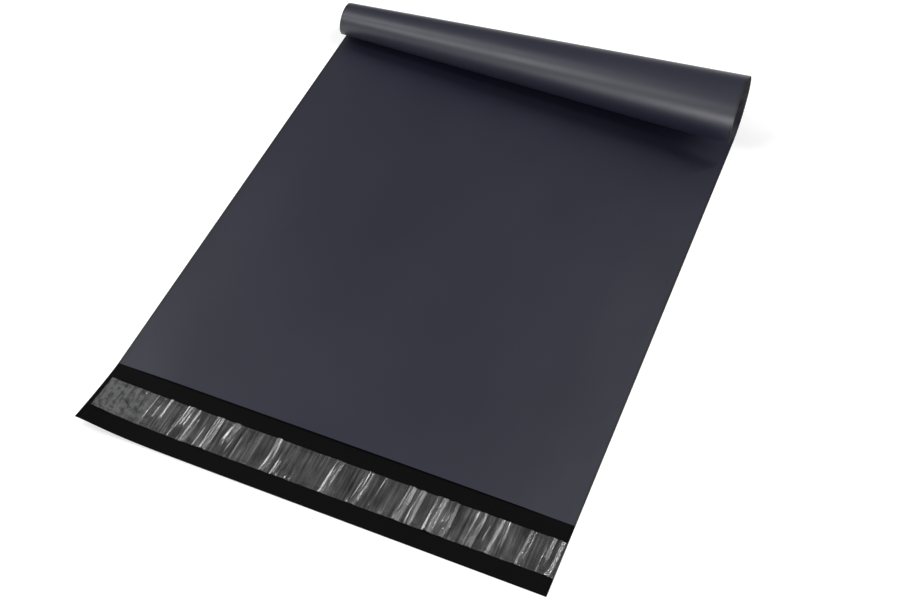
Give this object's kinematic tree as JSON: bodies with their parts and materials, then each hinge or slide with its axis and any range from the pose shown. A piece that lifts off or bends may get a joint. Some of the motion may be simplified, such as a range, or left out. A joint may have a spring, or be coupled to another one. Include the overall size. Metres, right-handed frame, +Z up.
{
  "type": "poly mailer bag",
  "caption": "Flat opaque film mailing bag with welded sides, an open flap with a lined adhesive strip, and its far end loosely rolled up.",
  "frame": {"origin": "under the middle of the bounding box, on the surface the bag lies on", "axes": "+X across the bag, +Y along it from the flap to the rolled end, +Z up out of the front panel"},
  "size_m": [0.25, 0.3406, 0.0444],
  "materials": {
    "film": "satin charcoal film outside, black inside",
    "adhesive": "clear hot melt on black film",
    "liner": "clear wrinkled release film"
  },
  "bodies": {
    "root": {"bag_film": "film", "adhesive_strip": "adhesive", "release_liner": "liner"}
  },
  "joints": []
}
